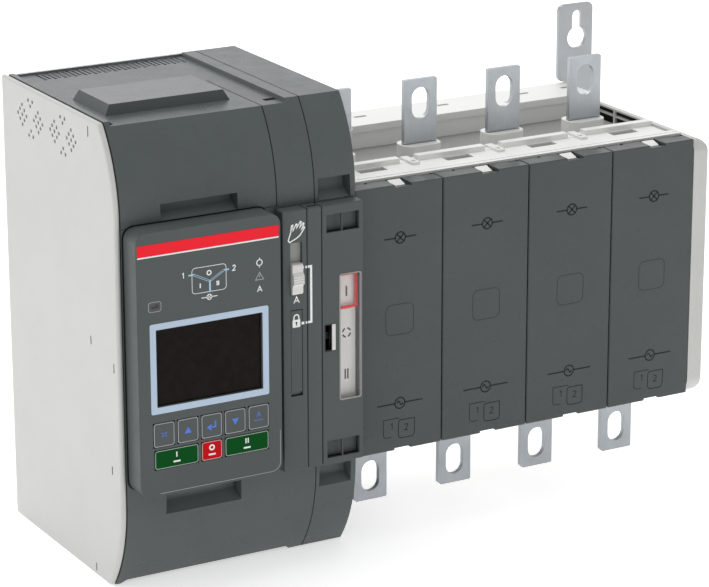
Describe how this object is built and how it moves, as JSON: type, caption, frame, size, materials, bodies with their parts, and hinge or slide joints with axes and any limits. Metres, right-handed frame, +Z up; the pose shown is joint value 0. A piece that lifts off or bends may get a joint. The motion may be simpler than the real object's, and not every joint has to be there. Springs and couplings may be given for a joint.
{
  "type": "automatic transfer switch",
  "caption": "Panel-mounted transfer switch: boxy mechanism housing with a screen and keypad beside a row of covered poles with flat slotted terminal bars above and below.",
  "frame": {"origin": "on the rear mounting plane, centred across the overall width, at the height of the operating shaft, which is the housing's mid-height", "axes": "+X to the right along the row of poles, +Y to the rear into the mounting panel, +Z up"},
  "size_m": [0.4508, 0.1843, 0.304],
  "materials": {
    "dark_plastic": "fine-grained dark grey moulding",
    "light_plastic": "smooth pale grey moulding",
    "white_plastic": "smooth off-white glass-filled moulding",
    "grey_plastic": "smooth light grey moulding",
    "tinned_copper": "tin-plated copper, fine rolled grain",
    "steel": "zinc-plated sheet steel",
    "red_plastic": "satin red",
    "green_plastic": "satin dark green",
    "display_glass": "dark display window",
    "clear_window": "clear moulded window",
    "circuit_board": "green solder resist",
    "rubber_mat": "silicone keypad mat",
    "black_plastic": "black moulding"
  },
  "bodies": {
    "housing": {"left_side_panel": "light_plastic", "main_housing": "dark_plastic", "lower_finger_cup": "dark_plastic", "control_terminal_cover": "dark_plastic", "right_housing": "dark_plastic", "panel_housing": "dark_plastic", "selector_module": "dark_plastic", "filler_strip": "dark_plastic", "indicator_module": "dark_plastic", "pole_cover_1": "dark_plastic", "pole_cover_2": "dark_plastic", "pole_cover_3": "dark_plastic", "pole_cover_4": "dark_plastic", "back_plate": "steel", "display_module": "steel", "drive_motor": "steel", "drive_frame": "steel", "mounting_rail": "steel", "panel_red_strip": "red_plastic", "display_window": "display_glass", "keypad_mat": "rubber_mat", "panel_circuit_board": "circuit_board", "control_board": "circuit_board", "power_supply_board": "circuit_board", "front_switch_housing": "white_plastic", "rear_switch_housing": "white_plastic", "indicator_window": "clear_window", "indicator_scale": "grey_plastic", "load_terminal_block": "grey_plastic", "end_plate": "grey_plastic", "control_terminal_strip": "black_plastic", "load_bar_1": "tinned_copper", "load_bar_2": "tinned_copper", "load_bar_3": "tinned_copper", "load_bar_4": "tinned_copper", "source_one_bar_1": "tinned_copper", "source_one_bar_2": "tinned_copper", "source_one_bar_3": "tinned_copper", "source_one_bar_4": "tinned_copper", "source_two_bar_1": "tinned_copper", "source_two_bar_2": "tinned_copper", "source_two_bar_3": "tinned_copper", "source_two_bar_4": "tinned_copper"},
    "key_escape": {"key_escape": "dark_plastic"},
    "key_up": {"key_up": "dark_plastic"},
    "key_enter": {"key_enter": "dark_plastic"},
    "key_down": {"key_down": "dark_plastic"},
    "key_auto": {"key_auto": "dark_plastic"},
    "key_source_one_on": {"key_source_one_on": "green_plastic"},
    "key_off": {"key_off": "red_plastic"},
    "key_source_two_on": {"key_source_two_on": "green_plastic"},
    "mode_selector": {"mode_selector": "white_plastic"},
    "lock_clip": {"lock_clip": "dark_plastic"},
    "position_marker": {"position_marker": "red_plastic"},
    "operating_shaft": {"operating_shaft": "steel"},
    "idler_gear": {"idler_gear": "white_plastic"},
    "motor_pinion": {"motor_pinion": "steel"},
    "front_contact_roll": {"front_contact_roll": "black_plastic"},
    "rear_contact_roll": {"rear_contact_roll": "black_plastic"}
  },
  "joints": [
    {"name": "key_escape_press", "type": "slide", "parent": "housing", "child": "key_escape", "axis": [0, 1, 0], "range_m": [0, 0.0008], "stiffness_N_per_m": 900},
    {"name": "key_up_press", "type": "slide", "parent": "housing", "child": "key_up", "axis": [0, 1, 0], "range_m": [0, 0.0008], "stiffness_N_per_m": 900},
    {"name": "key_enter_press", "type": "slide", "parent": "housing", "child": "key_enter", "axis": [0, 1, 0], "range_m": [0, 0.0008], "stiffness_N_per_m": 900},
    {"name": "key_down_press", "type": "slide", "parent": "housing", "child": "key_down", "axis": [0, 1, 0], "range_m": [0, 0.0008], "stiffness_N_per_m": 900},
    {"name": "key_auto_press", "type": "slide", "parent": "housing", "child": "key_auto", "axis": [0, 1, 0], "range_m": [0, 0.0008], "stiffness_N_per_m": 900},
    {"name": "key_source_one_on_press", "type": "slide", "parent": "housing", "child": "key_source_one_on", "axis": [0, 1, 0], "range_m": [0, 0.0008], "stiffness_N_per_m": 900},
    {"name": "key_off_press", "type": "slide", "parent": "housing", "child": "key_off", "axis": [0, 1, 0], "range_m": [0, 0.0008], "stiffness_N_per_m": 900},
    {"name": "key_source_two_on_press", "type": "slide", "parent": "housing", "child": "key_source_two_on", "axis": [0, 1, 0], "range_m": [0, 0.0008], "stiffness_N_per_m": 900},
    {"name": "mode_selector_slide", "type": "slide", "parent": "housing", "child": "mode_selector", "axis": [0, 0, 1], "range_m": [0, 0.012]},
    {"name": "lock_clip_pull", "type": "slide", "parent": "housing", "child": "lock_clip", "axis": [0, -1, 0], "range_m": [0, 0.012]},
    {"name": "operating_shaft_turn", "type": "hinge", "parent": "housing", "child": "operating_shaft", "pos_m": [-0.084, -0.162, 0], "axis": [0, 1, 0], "range_deg": [0, 90]},
    {"name": "idler_gear_turn", "type": "hinge", "parent": "housing", "child": "idler_gear", "pos_m": [-0.126, -0.107, 0], "axis": [0, 1, 0], "range_deg": [-83, 0]},
    {"name": "motor_pinion_turn", "type": "hinge", "parent": "housing", "child": "motor_pinion", "pos_m": [-0.157, -0.107, 0], "axis": [0, 1, 0], "range_deg": [0, 201]},
    {"name": "front_contact_roll_turn", "type": "hinge", "parent": "housing", "child": "front_contact_roll", "pos_m": [-0.057, -0.127, 0], "axis": [1, 0, 0], "range_deg": [-90.5, 0]},
    {"name": "rear_contact_roll_turn", "type": "hinge", "parent": "housing", "child": "rear_contact_roll", "pos_m": [-0.057, -0.0305, 0], "axis": [1, 0, 0], "range_deg": [0, 90.5]},
    {"name": "position_marker_slide", "type": "slide", "parent": "housing", "child": "position_marker", "axis": [0, 0, -1], "range_m": [0, 0.0572]}
  ],
  "couplings": [
    {"joint": "idler_gear_turn", "follows": "operating_shaft_turn", "ratio": -0.90909},
    {"joint": "motor_pinion_turn", "follows": "operating_shaft_turn", "ratio": 2.2222},
    {"joint": "front_contact_roll_turn", "follows": "operating_shaft_turn", "ratio": -1},
    {"joint": "rear_contact_roll_turn", "follows": "operating_shaft_turn", "ratio": 1},
    {"joint": "position_marker_slide", "follows": "operating_shaft_turn", "m_per_rad": 0.036287}
  ]
}
